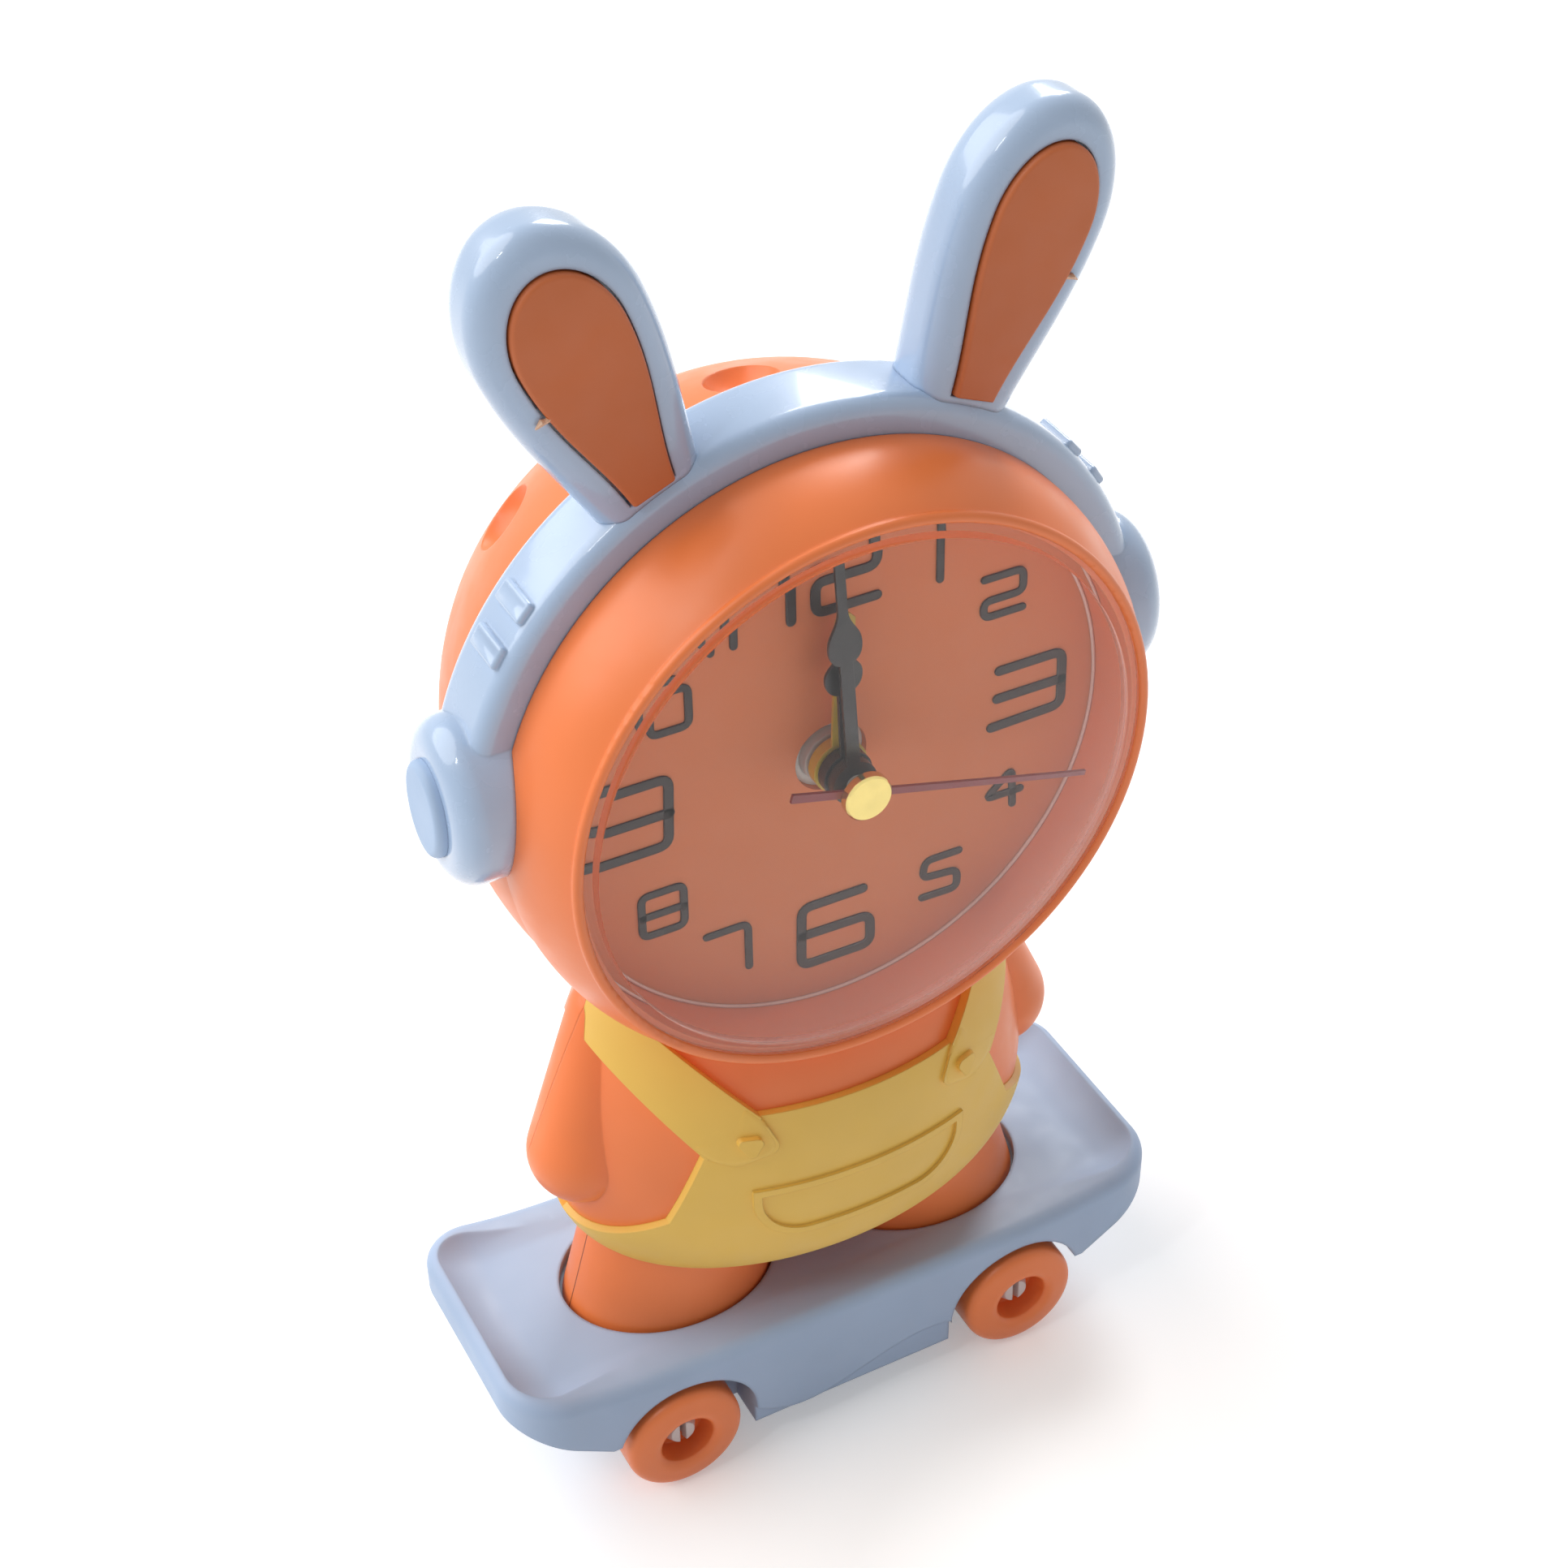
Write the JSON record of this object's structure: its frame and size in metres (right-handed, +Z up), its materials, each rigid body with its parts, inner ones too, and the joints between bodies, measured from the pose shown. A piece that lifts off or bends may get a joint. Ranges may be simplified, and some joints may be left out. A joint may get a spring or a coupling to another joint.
{
  "type": "novelty alarm clock",
  "caption": "Desk alarm clock shaped as a long-eared figure with a headset, its round head the dial, standing on a rolling skateboard.",
  "frame": {"origin": "on the floor under the middle of the board: the bottom centre of the bounding box", "axes": "+X to the right along the board, +Y to the back of the clock, +Z up; the dial faces -Y"},
  "size_m": [0.0978, 0.055, 0.1815],
  "materials": {
    "blue_plastic": "satin moulded",
    "orange_plastic": "satin moulded",
    "lining_plastic": "matt moulded",
    "yellow_plastic": "satin moulded",
    "dial_card": "printed matt",
    "clear_lens": "clear polished",
    "grey_plastic": "moulded",
    "white_plastic": "moulded",
    "black_plastic": "moulded",
    "bush_plastic": "moulded",
    "black_paint": "satin black",
    "yellow_paint": "satin yellow",
    "red_paint": "satin dark red",
    "gilt": "polished",
    "steel": "bright",
    "cell_jacket": "printed jacket"
  },
  "bodies": {
    "clock": {"deck": "blue_plastic", "base_cover": "blue_plastic", "headband": "blue_plastic", "right_ear": "blue_plastic", "left_ear": "blue_plastic", "right_cup_cap": "blue_plastic", "left_cup_cap": "blue_plastic", "body_front": "orange_plastic", "body_rear": "orange_plastic", "bezel": "orange_plastic", "rear_shell": "orange_plastic", "neck_ring": "orange_plastic", "right_ear_insert": "lining_plastic", "left_ear_insert": "lining_plastic", "overalls_front": "yellow_plastic", "overalls_rear": "yellow_plastic", "dial": "dial_card", "lens": "clear_lens", "left_axle": "grey_plastic", "right_axle": "grey_plastic", "movement_plate": "white_plastic", "movement_case": "white_plastic", "quartz_unit": "white_plastic", "centre_bush": "bush_plastic", "buzzer": "gilt", "flat_contact": "steel", "spring_contact": "steel", "aa_cell": "cell_jacket"},
    "wheel_fl": {"wheel_front_left": "orange_plastic"},
    "wheel_rl": {"wheel_rear_left": "orange_plastic"},
    "wheel_fr": {"wheel_front_right": "orange_plastic"},
    "wheel_rr": {"wheel_rear_right": "orange_plastic"},
    "minute": {"minute_wheel": "white_plastic", "minute_hand": "black_paint"},
    "hour": {"hour_wheel": "white_plastic", "hour_hand": "black_paint"},
    "second": {"second_arbor": "steel", "second_hand": "red_paint", "second_cap": "gilt"},
    "motion": {"motion_wheel": "white_plastic"},
    "time_set": {"time_arbor": "white_plastic", "time_knob": "black_plastic"},
    "alarm_set": {"alarm_arbor": "white_plastic", "alarm_knob": "black_plastic"},
    "alarm_idle": {"alarm_idler": "white_plastic"},
    "alarm": {"alarm_wheel": "white_plastic", "alarm_hand": "yellow_paint"},
    "switch": {"alarm_switch": "black_plastic"},
    "door": {"battery_door": "orange_plastic"}
  },
  "joints": [
    {"name": "wheel_fl_spin", "type": "hinge", "parent": "clock", "child": "wheel_fl", "pos_m": [-0.0259, 0, 0.0083], "axis": [0, 1, 0], "continuous": true},
    {"name": "wheel_rl_spin", "type": "hinge", "parent": "clock", "child": "wheel_rl", "pos_m": [-0.0259, 0, 0.0083], "axis": [0, 1, 0], "continuous": true},
    {"name": "wheel_fr_spin", "type": "hinge", "parent": "clock", "child": "wheel_fr", "pos_m": [0.0259, 0, 0.0083], "axis": [0, 1, 0], "continuous": true},
    {"name": "wheel_rr_spin", "type": "hinge", "parent": "clock", "child": "wheel_rr", "pos_m": [0.0259, 0, 0.0083], "axis": [0, 1, 0], "continuous": true},
    {"name": "minute_turn", "type": "hinge", "parent": "clock", "child": "minute", "pos_m": [0, 0, 0.1084], "axis": [0, 1, 0], "continuous": true},
    {"name": "hour_turn", "type": "hinge", "parent": "clock", "child": "hour", "pos_m": [0, 0, 0.1084], "axis": [0, 1, 0], "continuous": true},
    {"name": "second_turn", "type": "hinge", "parent": "clock", "child": "second", "pos_m": [0, 0, 0.1084], "axis": [0, 1, 0], "continuous": true},
    {"name": "motion_turn", "type": "hinge", "parent": "clock", "child": "motion", "pos_m": [-0.00735, 0, 0.11518], "axis": [0, 1, 0], "continuous": true},
    {"name": "time_set_turn", "type": "hinge", "parent": "clock", "child": "time_set", "pos_m": [-0.0105, 0, 0.1252], "axis": [0, 1, 0], "continuous": true},
    {"name": "alarm_set_turn", "type": "hinge", "parent": "clock", "child": "alarm_set", "pos_m": [0.0105, 0, 0.1252], "axis": [0, 1, 0], "continuous": true},
    {"name": "alarm_idle_turn", "type": "hinge", "parent": "clock", "child": "alarm_idle", "pos_m": [0.00641, 0, 0.11607], "axis": [0, 1, 0], "continuous": true},
    {"name": "alarm_turn", "type": "hinge", "parent": "clock", "child": "alarm", "pos_m": [0, 0, 0.1084], "axis": [0, 1, 0], "continuous": true},
    {"name": "switch_slide", "type": "slide", "parent": "clock", "child": "switch", "axis": [1, 0, 0], "range_m": [0, 0.0059]},
    {"name": "door_lift", "type": "slide", "parent": "clock", "child": "door", "axis": [0, 1, 0], "range_m": [0, 0.02]}
  ],
  "couplings": [
    {"joint": "motion_turn", "follows": "minute_turn", "ratio": -0.33333},
    {"joint": "hour_turn", "follows": "minute_turn", "ratio": 0.083333},
    {"joint": "second_turn", "follows": "minute_turn", "ratio": 60},
    {"joint": "time_set_turn", "follows": "minute_turn", "ratio": 0.83333},
    {"joint": "alarm_idle_turn", "follows": "alarm_set_turn", "ratio": -1},
    {"joint": "alarm_turn", "follows": "alarm_set_turn", "ratio": 1}
  ]
}
